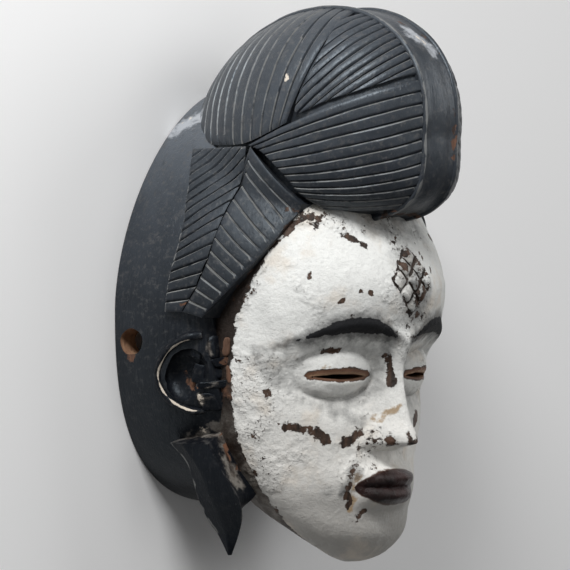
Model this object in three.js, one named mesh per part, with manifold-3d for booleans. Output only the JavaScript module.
// A carved wooden okuyi face mask, lying on its rear rim with the face up.
// Millimetres. +X to the mask's own left, +Y to the crown, +Z out of the face, z = 0 at the rear rim.
// The whole mask is one block of wood: a hollow cup with a plain collar, a face, a combed headdress with
// a bare middle band between two beads, a tress above each ear and a lock below it.
import * as THREE from "three";
import { mergeVertices } from "three/addons/utils/BufferGeometryUtils.js";
import Module from "manifold-3d";

// Driving dimensions
const HEIGHT = 300; // chin to top of headdress
const CHIN_Y = -HEIGHT / 2;

const CUP = {
  halfWidth: 93.7,
  middleY: -13, // height of the widest part
  top: 120.5,
  foot: 107,
  topRoundness: 1.7,
  footRoundness: 2.65,
  depthRoundness: 2.3,
  footDepth: 72, // how far the cup reaches forward, at its foot, at the ears and from the temples up
  earDepth: 90,
  topDepth: 125,
  footY: -117, // and the heights between which these depths change
  earY: -50,
  cheekY: -20,
  templeY: 30,
};
const CUP_MESH = { tilts: [0, 9, 19, 32], count: 40 }; // rows, by their tilt from the rim plane
const HOLLOW = { halfWidth: 83, top: 106, foot: 96, depth: 80, blend: 14 };
const FACE_HOLLOW = { y: CUP.middleY - 29, halfWidth: 52, halfHeight: 64, depth: 105 };
const HOLLOW_MESH = { tilts: [0, 17, 36, 56, 76], count: 24 };
const BELOW_RIM = 5; // how far the cup and its hollow run past the rim plane before it cuts them
const TIE_HOLE = { radius: 7.2, y: -31, z: 11, length: 60 };

const FACE = {
  halfWidth: 73,
  widestY: -25,
  chinPointedness: 1.9,
  hairlineY: 36,
  roundness: 2.1,
  sideZ: 58, // where the cheeks turn into the sides
  chinZ: 88,
  sideDepth: 30, // from there back, at the sides and at the chin
  chinDepth: 3,
};
const FACE_MESH = {
  halfAngles: [3.5, 7, 11, 15, 19, 24, 30, 37, 46, 58, 90],
  fineStep: 4,
  step: 6,
  foreheadStep: 10,
  above: 14, // how far it runs up inside the headdress
};
const DOME = {
  halfWidth: 62.5,
  halfDepth: 78.5,
  backDepth: 83.5,
  top: 71.5, // from the widest level up
  foot: 46, // and down
  middleZ: 72,
  lean: 0.14, // forward lean with height
  roundness: 1.84,
  topRoundness: 2.08,
  footRoundness: 3.5,
};
const DOME_CENTRE = new THREE.Vector3(0, HEIGHT / 2 - DOME.top, DOME.middleZ);
const DOME_MESH = { bandSegments: 30, coreSegments: 18, coreStations: [14, 38, 54] };
const BAND = { halfWidth: 13.4, beadWidth: 4.4, beadHeight: 1.5, sunk: 1.6 };
const TRESS = { raise: 2.6, topRaise: 1.3, skinDepth: 112, blend: 8 };
const GROOVE = { halfWidth: 0.8, depth: 1.3, borderDepth: 2.4 };
const EAR = { y: -49, z: 43, bowl: [8, 15, 15], bowlSink: 3, ridge: 2.6, skinDepth: 112, segments: 8 };
const LOCK = { tipX: -60, topX: -83, tipDepth: 2, topDepth: 26, topRise: 9, deepens: [0.38, 0.72] };

// Face proportions: hairline to brow, brow to nose and nose to chin are one third each.
const THIRD = (FACE.hairlineY - CHIN_Y) / 3;
const BROW_Y = CHIN_Y + 2 * THIRD;
const NOSE_Y = CHIN_Y + THIRD;
const MOUTH_Y = CHIN_Y + (2 / 3) * THIRD;
const EYE = { x: 33, y: BROW_Y - 0.36 * THIRD, halfWidth: 22, halfHeight: 12.5, bulge: 7 };
const SLIT = { halfLength: 15.5, halfHeight: 1.5, drop: 1, length: 120 };
const SOCKET = { halfWidth: 28, halfHeight: 21, depth: 6 };
const BROW = { peakX: 32, peak: 4, reach: 27, arch: 8, thickness: 3.4, height: 2.6, inner: 8, outer: 58 };
const NOSE = { height: 21, bridge: 5, halfWidth: 9.5, bridgeHalfWidth: 7 };
const WING = { x: 9.5, y: NOSE_Y + 6, radius: 7.5, height: 6 };
const MUZZLE = { halfWidth: 30, halfHeight: 20, height: 4 };
const LIP = { halfWidth: 23, thickness: 5, height: 8, offset: 5.2 };
const SCALE = { width: 11, height: 13, apart: 2.15, raise: 2.2, rows: [1, 2, 3, 2, 1] };
const SCALE_Y = BROW_Y + 0.45 * THIRD;

// Scalar helpers
const clamp01 = (t) => Math.min(1, Math.max(0, t));
const mix = (a, b, t) => a + (b - a) * t;
const smooth = (a, b, t) => {
  const u = clamp01((t - a) / (b - a));
  return u * u * (3 - 2 * u);
};
const bell = (t) => Math.exp(-t * t);
const smoothMin = (a, b, blend) => {
  const h = Math.max(blend - Math.abs(a - b), 0) / blend;
  return Math.min(a, b) - (h * h * blend) / 4;
};

// Depth of the bare face on its middle line, from the chin to above the hairline.
const PROFILE = new THREE.SplineCurve([
  new THREE.Vector2(CHIN_Y, 90),
  new THREE.Vector2(CHIN_Y + 0.07 * THIRD, 101),
  new THREE.Vector2(CHIN_Y + 0.24 * THIRD, 109),
  new THREE.Vector2(CHIN_Y + 0.46 * THIRD, 108),
  new THREE.Vector2(MOUTH_Y, 110),
  new THREE.Vector2(NOSE_Y, 109),
  new THREE.Vector2(EYE.y, 114),
  new THREE.Vector2(BROW_Y, 124),
  new THREE.Vector2(BROW_Y + 0.45 * THIRD, 130),
  new THREE.Vector2(FACE.hairlineY, 114),
  new THREE.Vector2(FACE.hairlineY + 30, 90),
]);
const PROFILE_TABLE = PROFILE.getPoints(400);
function profileDepth(y) {
  const at = PROFILE_TABLE.findIndex((p) => p.x > y);
  if (at <= 0) return PROFILE_TABLE.at(at < 0 ? -1 : 0).y;
  const [a, b] = [PROFILE_TABLE[at - 1], PROFILE_TABLE[at]];
  return mix(a.y, b.y, (y - a.x) / (b.x - a.x));
}

// Features of the face, as a height along +Z over the bare face.
function relief(x, y) {
  const side = Math.abs(x);
  const arch = BROW_Y + BROW.peak - BROW.arch * ((side - BROW.peakX) / BROW.reach) ** 2;
  const browStart = smooth(BROW.inner - 3, BROW.inner + 3, side);
  const browEnd = smooth(BROW.outer + 4, BROW.outer - 4, side);
  const brow = BROW.height * bell((y - arch) / BROW.thickness) * browStart * browEnd;

  const [fromEyeX, fromEyeY] = [side - EYE.x, y - EYE.y];
  const socketAt = Math.hypot(fromEyeX / SOCKET.halfWidth, fromEyeY / SOCKET.halfHeight);
  const socket = -SOCKET.depth * bell(socketAt ** 2);
  const lidAt = (fromEyeX / EYE.halfWidth) ** 2 + (fromEyeY / EYE.halfHeight) ** 2;
  const lid = EYE.bulge * Math.max(0, 1 - lidAt) ** 0.7;

  const down = clamp01((BROW_Y - y) / (BROW_Y - NOSE_Y));
  const noseEnds = smooth(NOSE_Y - 2, NOSE_Y + 3, y) * smooth(BROW_Y + 6, BROW_Y - 8, y);
  const noseShape = bell(side / mix(NOSE.bridgeHalfWidth, NOSE.halfWidth, down));
  const nose = mix(NOSE.bridge, NOSE.height, down ** 1.3) * noseShape * noseEnds;
  const wingShape = bell(Math.hypot(side - WING.x, y - WING.y) / WING.radius);
  const wing = WING.height * wingShape * smooth(NOSE_Y - 1, NOSE_Y + 3, y);

  const muzzleAt = Math.hypot(side / MUZZLE.halfWidth, (y - MOUTH_Y) / MUZZLE.halfHeight);
  const muzzle = MUZZLE.height * bell(muzzleAt);
  const lipReach = Math.sqrt(Math.max(0, 1 - (side / LIP.halfWidth) ** 2));
  const upper = bell((y - MOUTH_Y - LIP.offset) / LIP.thickness) * lipReach;
  const lower = bell((y - MOUTH_Y + LIP.offset) / (LIP.thickness * 1.1)) * lipReach ** 1.6;
  return brow + socket + lid + nose + wing + muzzle + LIP.height * (upper + lower);
}

// The forms, as functions that are negative inside, in about millimetres near the surface.
function cupForm(x, y, z, earDepth = CUP.earDepth) {
  const up = y - CUP.middleY;
  const reach = up > 0 ? CUP.top : CUP.foot;
  const m = up > 0 ? CUP.topRoundness : CUP.footRoundness;
  const across = (Math.abs(x / CUP.halfWidth) ** m + Math.abs(up / reach) ** m) ** (1 / m);
  const low = mix(CUP.footDepth, earDepth, smooth(CUP.footY, CUP.earY, y));
  const depth = mix(low, CUP.topDepth, smooth(CUP.cheekY, CUP.templeY, y));
  const n = CUP.depthRoundness;
  return ((across ** n + (Math.max(z, 0) / depth) ** n) ** (1 / n) - 1) * CUP.halfWidth;
}

function faceForm(x, y, z) {
  const up = y - FACE.widestY;
  const narrow = Math.abs(up / (FACE.widestY - CHIN_Y)) ** 2.3;
  const width = FACE.halfWidth * Math.max(1 - narrow, 1e-4) ** (1 / FACE.chinPointedness);
  const middle = mix(FACE.chinZ, FACE.sideZ, smooth(CHIN_Y, CHIN_Y + 58, y));
  const back = mix(FACE.chinDepth, FACE.sideDepth, smooth(CHIN_Y, CHIN_Y + 34, y));
  const lift = relief(x, y) * smooth(middle - 5, middle + 25, z);
  const front = profileDepth(y) - middle;
  const along = z > middle ? (z - middle - lift) / front : (middle - z) / back;
  const n = FACE.roundness;
  const edge = (Math.abs(x / width) ** n + Math.abs(along) ** n) ** (1 / n) - 1;
  return edge * Math.min(width, front);
}

function domeForm(x, y, z) {
  const n = DOME.roundness;
  const up = y - DOME_CENTRE.y;
  const middle = DOME.middleZ + DOME.lean * Math.max(up, 0);
  const deep = z > middle ? DOME.halfDepth : DOME.backDepth;
  const level = (Math.abs(x / DOME.halfWidth) ** n + Math.abs((z - middle) / deep) ** n) ** (1 / n);
  const m = up > 0 ? DOME.topRoundness : DOME.footRoundness;
  const radius = (level ** m + Math.abs(up / (up > 0 ? DOME.top : DOME.foot)) ** m) ** (1 / m);
  return (radius - 1) * DOME.top;
}

// The band lies low between its beads, and each bead stands proud and falls off to its outer side.
const BEAD_HALF = BAND.beadWidth / 2;
function bandForm(x, y, z) {
  const side = Math.abs(x);
  const sunk = BAND.sunk * smooth(BAND.halfWidth, BAND.halfWidth - 5, side);
  const bead = BAND.beadHeight * mix(1, 0.5, smooth(0, BEAD_HALF, side - BAND.halfWidth));
  return domeForm(x, y, z) + sunk - (side > BAND.halfWidth - BEAD_HALF - 0.1 ? bead : 0);
}

// The skin that the tress lies on, a fuller cup melting into the headdress.
const tressForm = (x, y, z) => smoothMin(cupForm(x, y, z, TRESS.skinDepth), domeForm(x, y, z), TRESS.blend);

// The hollow: a bowl as wide as the rim, with a deeper bowl behind the face.
function hollowForm(x, y, z) {
  const up = y - CUP.middleY;
  const reach = up > 0 ? HOLLOW.top : HOLLOW.foot;
  const bowl = Math.hypot(x / HOLLOW.halfWidth, up / reach, z / HOLLOW.depth) - 1;
  const { y: middleY, halfWidth, halfHeight, depth } = FACE_HOLLOW;
  const face = Math.hypot(x / halfWidth, (y - middleY) / halfHeight, z / depth) - 1;
  return smoothMin(bowl * HOLLOW.depth, face * halfWidth, HOLLOW.blend);
}

// A form divided by its slope, which is its true distance near the surface.
function gap(form, p) {
  const e = 0.05;
  const slope = Math.hypot(
    form(p.x + e, p.y, p.z) - form(p.x - e, p.y, p.z),
    form(p.x, p.y + e, p.z) - form(p.x, p.y - e, p.z),
    form(p.x, p.y, p.z + e) - form(p.x, p.y, p.z - e),
  ) / (2 * e);
  return form(p.x, p.y, p.z) / Math.max(slope, 1e-3);
}

// The outermost point of a form on a ray, found by stepping in from outside and halving the last step.
function surfacePoint(form, origin, direction, offset = 0, far = 190) {
  const at = (t) => origin.clone().addScaledVector(direction, t);
  const step = 2;
  let outside = far;
  while (outside > 0 && gap(form, at(outside - step)) > offset) outside -= step;
  let inside = Math.max(outside - step, 0);
  for (let i = 0; i < 22; i++) {
    const middle = (inside + outside) / 2;
    if (gap(form, at(middle)) > offset) outside = middle;
    else inside = middle;
  }
  return at(inside);
}

// Booleans on closed geometries
const wasm = await Module();
wasm.setup();
const { Manifold, Mesh } = wasm;

function toSolid(geometry) {
  const bare = new THREE.BufferGeometry();
  bare.setAttribute("position", geometry.getAttribute("position"));
  if (geometry.index) bare.setIndex(geometry.index);
  const merged = mergeVertices(bare, 1e-4);
  const index = merged.index.array;
  const triVerts = [];
  for (let i = 0; i < index.length; i += 3) {
    const [a, b, c] = index.slice(i, i + 3);
    if (a !== b && b !== c && c !== a) triVerts.push(a, b, c);
  }
  const vertProperties = merged.attributes.position.array;
  return new Manifold(new Mesh({ numProp: 3, vertProperties, triVerts: new Uint32Array(triVerts) }));
}

function toGeometry(solid) {
  const mesh = solid.getMesh();
  const geometry = new THREE.BufferGeometry();
  geometry.setAttribute("position", new THREE.BufferAttribute(mesh.vertProperties, 3));
  geometry.setIndex(new THREE.BufferAttribute(mesh.triVerts, 1));
  geometry.computeVertexNormals();
  return geometry;
}

const mean = (ring) => ring.reduce((sum, p) => sum.add(p), new THREE.Vector3()).divideScalar(ring.length);

// A closed body from rings of equal length, the first and last ring each filled from a point inside.
function loft(rings, middle = mean) {
  const count = rings[0].length;
  const points = rings.flat();
  const index = [];
  for (let r = 0; r + 1 < rings.length; r++)
    for (let i = 0; i < count; i++) {
      const j = (i + 1) % count;
      const [a, b, c, d] = [r * count + i, r * count + j, (r + 1) * count + j, (r + 1) * count + i];
      index.push(a, b, c, a, c, d);
    }
  points.push(middle(rings[0]), middle(rings.at(-1)));
  const last = (rings.length - 1) * count;
  for (let i = 0; i < count; i++) {
    const j = (i + 1) % count;
    index.push(points.length - 2, j, i, points.length - 1, last + i, last + j);
  }
  const volume = (a, b, c) => points[a].dot(new THREE.Vector3().crossVectors(points[b], points[c]));
  let total = 0;
  for (let i = 0; i < index.length; i += 3) total += volume(index[i], index[i + 1], index[i + 2]);
  const geometry = new THREE.BufferGeometry().setFromPoints(points);
  geometry.setIndex(total < 0 ? index.reverse() : index);
  return geometry;
}

// The cup and its hollow: rows from the flat rim to the front, as seen from the middle of the rim.
function cupShell(form, { tilts, count }) {
  const centre = new THREE.Vector3(0, CUP.middleY, 0);
  const rings = tilts.map((tilt) => {
    const lift = THREE.MathUtils.degToRad(tilt);
    return Array.from({ length: count }, (_, i) => {
      const turn = (2 * Math.PI * i) / count;
      const level = new THREE.Vector3(Math.sin(turn), Math.cos(turn), 0);
      const direction = level.multiplyScalar(Math.cos(lift)).setZ(Math.sin(lift));
      return surfacePoint(form, centre, direction);
    });
  });
  const behind = rings[0].map((p) => p.clone().setZ(-BELOW_RIM));
  return toSolid(loft([behind, ...rings]));
}

// The face: level sections from the chin up, each a ring of points round a spine inside it.
function faceBody() {
  const fine = (y) => Math.abs(y - BROW_Y - 2) < 10 || Math.abs(y - MOUTH_Y) < 13;
  const coarseStep = (y) => (y > BROW_Y ? FACE_MESH.foreheadStep : FACE_MESH.step);
  const rows = [CHIN_Y + 0.5];
  while (rows.at(-1) < FACE.hairlineY) {
    const y = rows.at(-1);
    rows.push(y + (fine(y) ? FACE_MESH.fineStep : coarseStep(y)));
  }
  rows.push(FACE.hairlineY + FACE_MESH.above);
  const half = FACE_MESH.halfAngles;
  const angles = [...half.map((a) => -a).reverse(), 0, ...half, 180];
  const rings = rows.map((y) => {
    const spineZ = mix(FACE.chinZ + 2, FACE.sideZ - 8, smooth(CHIN_Y, CHIN_Y + 60, y));
    const spine = new THREE.Vector3(0, y, spineZ);
    return angles.map((degrees) => {
      const turn = THREE.MathUtils.degToRad(degrees);
      return surfacePoint(faceForm, spine, new THREE.Vector3(Math.sin(turn), 0, Math.cos(turn)));
    });
  });
  return toSolid(loft(rings));
}

// A body of rings across X about the middle of the headdress, the same on both sides.
function domeRings(form, halfStations, segments, offset = 0) {
  const stations = [...halfStations.map((x) => -x).reverse(), ...halfStations];
  const rings = stations.map((x) => {
    const centre = DOME_CENTRE.clone().setX(x);
    return Array.from({ length: segments }, (_, i) => {
      const turn = (2 * Math.PI * i) / segments;
      return surfacePoint(form, centre, new THREE.Vector3(0, Math.sin(turn), Math.cos(turn)), offset);
    });
  });
  return toSolid(loft(rings));
}

// The bare middle band with its two beads, and the core that shows between the combed fields.
const BAND_INNER = BAND.halfWidth - BEAD_HALF;
const BAND_STATIONS = [BAND_INNER - 0.2, BAND_INNER + 0.4, BAND.halfWidth + BEAD_HALF];
const bandBody = () => domeRings(bandForm, BAND_STATIONS, DOME_MESH.bandSegments);
const coreBody = () => {
  const { coreStations, coreSegments } = DOME_MESH;
  return domeRings(domeForm, coreStations, coreSegments, -GROOVE.borderDepth);
};

// A combed patch: flat lands between grooves. place(t, s, sink) is the point t across and s along them.
function combedPatch({ count, steps, place, inside, fade = false }) {
  const rings = steps.map((s) => {
    const pitch = place(0.5, s).distanceTo(place(0.5 + 1 / count, s));
    const wide = Math.min(GROOVE.halfWidth / pitch, 0.34) / count;
    const depth = fade && s === 1 ? 0 : Math.min(GROOVE.depth, pitch * 0.4);
    const outer = [place(0, s)];
    for (let i = 0; i < count - 1; i++) {
      const t = (i + 1) / count;
      outer.push(place(t - wide, s), place(t, s, -depth), place(t + wide, s));
    }
    outer.push(place(1, s));
    return [...outer, inside(outer.at(-1), s), inside(outer[0], s)];
  });
  const deepMiddle = (ring) => ring.at(-1).clone().lerp(ring.at(-2), 0.5).lerp(mean(ring), 0.15);
  return toSolid(loft(rings, deepMiddle));
}

// The tress: a curved slab combed in a herringbone, each half given by the lines where its grooves begin
// and end, as (z, y). The halves lean under each other at the spine.
const curve = (...pairs) => new THREE.SplineCurve(pairs.map(([a, b]) => new THREE.Vector2(a, b)));
const cornered = (...pairs) => new THREE.Path(pairs.map(([a, b]) => new THREE.Vector2(a, b)));
const TRESS_HALVES = [
  {
    count: 17,
    steps: [0, 0.5, 1],
    begin: cornered([24, 73], [66, 73], [61, 42], [57, 13], [52, -3], [45, -15]),
    end: cornered([24, 73], [33, 53], [38, 36], [38.5, 20], [36.5, 6], [35, -15]),
    lean: 12,
  },
  {
    count: 13,
    steps: [0, 0.5, 0.93, 1],
    begin: cornered([69, 73], [61.5, 42], [57.5, 13], [52.5, -3], [45.5, -15]),
    end: cornered([96.5, 42], [89, 24], [80, 10], [69, -4], [56, -18]),
    lean: -12,
    fade: true,
  },
];

function tressPoint(z, y, sink = 0) {
  const raise = mix(TRESS.raise, TRESS.topRaise, smooth(34, 73, y)) + sink;
  return surfacePoint(tressForm, new THREE.Vector3(0, y, z), new THREE.Vector3(-1, 0, 0), raise);
}

function tressHalf({ begin, end, lean, ...comb }) {
  const place = (t, s, sink = 0) => {
    const at = begin.getPoint(clamp01(t)).lerp(end.getPoint(clamp01(t)), s);
    return tressPoint(at.x, at.y, sink);
  };
  const inside = (p, s) => new THREE.Vector3(p.x * 0.75, p.y, p.z + lean * (1 - s));
  return combedPatch({ ...comb, place, inside });
}

// The ear: a ridge curling round a shallow bowl that is open to the front, with worn stubs there.
// The ridge runs through the points (z, y); each stub is a middle (z, y) with its depth and height.
const EAR_PATH = [[53, -27.5], [44, -29], [33, -36], [26.5, -48], [29, -59], [37, -66], [49, -70]];
const EAR_SECTION = [[1, 0.3], [0, 1], [-4, 0.8], [-4, -0.8], [0, -1]]; // out and across
const EAR_STUBS = [[54, -67, 5, 9], [61, -55, 6, 5]];
const STUB = { width: 15, sink: 7.5, turn: 0.5 };

function earPoint(z, y, offset) {
  const form = (px, py, pz) => cupForm(px, py, pz, EAR.skinDepth);
  return surfacePoint(form, new THREE.Vector3(0, y, z), new THREE.Vector3(-1, 0, 0), offset);
}

function earRidge() {
  const path = new THREE.CatmullRomCurve3(EAR_PATH.map(([z, y]) => earPoint(z, y, -1)));
  const rings = Array.from({ length: EAR.segments + 1 }, (_, i) => {
    const t = i / EAR.segments;
    const along = path.getTangent(t);
    const out = new THREE.Vector3(-1, 0, 0).addScaledVector(along, along.x).normalize();
    const side = new THREE.Vector3().crossVectors(out, along).multiplyScalar(mix(1.15, 0.75, t));
    return EAR_SECTION.map(([up, over]) => {
      const offset = out.clone().multiplyScalar(up).addScaledVector(side, over);
      return path.getPoint(t).addScaledVector(offset, EAR.ridge);
    });
  });
  return toSolid(loft(rings));
}

function earStub([z, y, deep, high]) {
  const at = earPoint(z, y, -STUB.sink);
  const stub = new THREE.BoxGeometry(STUB.width, high, deep).rotateY(STUB.turn);
  return toSolid(stub.translate(at.x, at.y, at.z));
}

function earBowl() {
  const at = earPoint(EAR.z, EAR.y, -EAR.bowlSink);
  return toSolid(new THREE.SphereGeometry(1, 10, 5).scale(...EAR.bowl).translate(at.x, at.y, at.z));
}

// The lock: level sections of a leaf with a sharp back edge and an oblique top, its edges as (z, y).
const LOCK_BACK = curve([52, -145], [48.5, -135], [45, -127], [42, -115], [38.5, -97], [29, -85]);
const LOCK_FRONT = curve([53, -145], [61, -133], [67, -122], [68, -113], [62, -101], [53, -85]);
function lockBody() {
  const rings = [0, 0.15, 0.36, 0.6, 0.8, 1].map((up) => {
    const [back, front] = [LOCK_BACK.getPoint(up), LOCK_FRONT.getPoint(up)];
    const outer = mix(LOCK.tipX, LOCK.topX, smooth(-0.2, 1.2, up));
    const inner = outer + mix(LOCK.tipDepth, LOCK.topDepth, smooth(...LOCK.deepens, up));
    const rise = up === 1 ? LOCK.topRise : 0;
    const ridge = back.clone().lerp(front, 0.4);
    return [
      new THREE.Vector3(outer, back.y, back.x),
      new THREE.Vector3(outer - 2 * up, ridge.y, ridge.x),
      new THREE.Vector3(outer + 2, front.y, front.x),
      new THREE.Vector3(inner, front.y + rise, mix(front.x, back.x, 0.1)),
      new THREE.Vector3(inner, back.y + rise, mix(back.x, front.x, 0.2)),
    ];
  });
  return toSolid(loft(rings));
}

// The forehead scales: a lozenge of nine low bosses, lying on the slope of the face.
function facePoint(x, y) {
  return surfacePoint(faceForm, new THREE.Vector3(x, y, 60), new THREE.Vector3(0, 0, 1));
}

function scaleBody(x, y) {
  const at = facePoint(x, y);
  const across = facePoint(x + 2, y).sub(facePoint(x - 2, y));
  const upward = facePoint(x, y + 2).sub(facePoint(x, y - 2));
  const out = across.cross(upward).normalize();
  const turn = new THREE.Quaternion().setFromUnitVectors(new THREE.Vector3(0, 0, 1), out);
  const [halfWidth, halfHeight] = [SCALE.width / SCALE.apart, SCALE.height / SCALE.apart];
  const boss = new THREE.OctahedronGeometry(1, 0).scale(halfWidth, halfHeight, SCALE.raise);
  return toSolid(boss.applyQuaternion(turn).translate(at.x, at.y, at.z));
}

function scaleBodies() {
  const middle = (SCALE.rows.length - 1) / 2;
  return SCALE.rows.flatMap((count, row) => {
    const y = SCALE_Y + ((middle - row) * SCALE.height) / 2;
    return Array.from({ length: count }, (_, i) => scaleBody((i - (count - 1) / 2) * SCALE.width, y));
  });
}

// Openings: the two eye slits and the two tie holes.
function slitBody(side) {
  const lens = new THREE.Shape();
  lens.moveTo(-SLIT.halfLength, 0);
  lens.quadraticCurveTo(0, 2 * SLIT.halfHeight, SLIT.halfLength, 0);
  lens.quadraticCurveTo(0, -2 * SLIT.halfHeight, -SLIT.halfLength, 0);
  const through = { depth: SLIT.length, bevelEnabled: false, curveSegments: 2 };
  const cut = new THREE.ExtrudeGeometry(lens, through);
  return toSolid(cut.translate(side * EYE.x, EYE.y - SLIT.drop, FACE.sideZ));
}

function tieHole() {
  const { radius, length, y, z } = TIE_HOLE;
  const hole = new THREE.CylinderGeometry(radius, radius, length, 12).rotateZ(Math.PI / 2);
  return toSolid(hole.translate(-CUP.halfWidth, y, z));
}

// Directions from the middle of the headdress: turn from the front to the side, and lift from level.
function domeDirection(turn, lift) {
  const [a, b] = [turn, lift].map(THREE.MathUtils.degToRad);
  return new THREE.Vector3(-Math.sin(a) * Math.cos(b), Math.sin(b), Math.cos(a) * Math.cos(b));
}

// A place beside the bead of the middle band, by its angle from the front up over the top.
function beadDirection(degrees) {
  const a = THREE.MathUtils.degToRad(degrees);
  const edge = BAND.halfWidth + BEAD_HALF - 1.5;
  const straight = new THREE.Vector3(0, Math.sin(a), Math.cos(a));
  const reach = surfacePoint(domeForm, DOME_CENTRE, straight).distanceTo(DOME_CENTRE);
  return new THREE.Vector3(-edge, 0, 0).addScaledVector(straight, reach).normalize();
}

function between(a, b, t) {
  const angle = a.angleTo(b);
  const [wa, wb] = [Math.sin((1 - t) * angle), Math.sin(t * angle)].map((w) => w / Math.sin(angle));
  return a.clone().multiplyScalar(wa).addScaledVector(b, wb);
}

// The three combed fields of the headdress: where the grooves begin (turn, lift), and where they end on
// the bead (first and last angle).
const FIELDS = [
  {
    count: 14,
    steps: [0, 0.2, 0.4, 0.6, 0.8, 1],
    begin: curve([160, -4], [127, -3.4], [97, -3.2], [72.5, 6]),
    end: [142, 67],
  },
  {
    count: 11,
    steps: [0, 0.33, 0.67, 1],
    begin: curve([46, 57], [59, 34], [68, 11.5], [50, 16], [24, 22]),
    end: [63.5, 24.5],
  },
  {
    count: 12,
    steps: [0, 0.25, 0.5, 0.75, 1],
    begin: curve([95, -4.4], [87, -7.5], [78, -15], [71, -22.5], [66, -29], [54, -38]),
    end: [22, -34],
  },
];

function fieldBody({ begin, end, ...comb }) {
  const place = (t, s, sink = 0) => {
    const start = begin.getPoint(t);
    const [from, to] = [domeDirection(start.x, start.y), beadDirection(mix(...end, t))];
    return surfacePoint(domeForm, DOME_CENTRE, between(from, to, s), sink);
  };
  const inside = (p) => p.clone().lerp(DOME_CENTRE, 0.5);
  return combedPatch({ ...comb, place, inside });
}

// Everything is one carving: the masses are joined, then the openings and the rim plane cut them.
const bothSides = (solid) => solid.add(solid.mirror([1, 0, 0]));
const joined = (solids) => solids.reduce((all, solid) => all.add(solid));
const masses = [cupShell(cupForm, CUP_MESH), faceBody(), coreBody(), bandBody()];
const carved = [...FIELDS.map(fieldBody), ...TRESS_HALVES.map(tressHalf)].map(bothSides);
const ears = bothSides(joined([earRidge(), ...EAR_STUBS.map(earStub)]));
const head = joined([...masses, ...carved]).subtract(bothSides(earBowl()));
const full = joined([head, ears, bothSides(lockBody()), ...scaleBodies()]);

const belowRim = new THREE.BoxGeometry(2 * HEIGHT, 2 * HEIGHT, HEIGHT).translate(0, 0, -HEIGHT / 2);
const openings = [cupShell(hollowForm, HOLLOW_MESH), bothSides(tieHole()), slitBody(1), slitBody(-1)];
const body = full.subtract(joined([...openings, toSolid(belowRim)]));

const wood = new THREE.MeshStandardMaterial({ color: 0x2a2b2e, roughness: 0.5, metalness: 0 });
const mask = new THREE.Mesh(toGeometry(body), wood);
mask.name = "mask";
const group = new THREE.Group();
group.add(mask);
export default group;
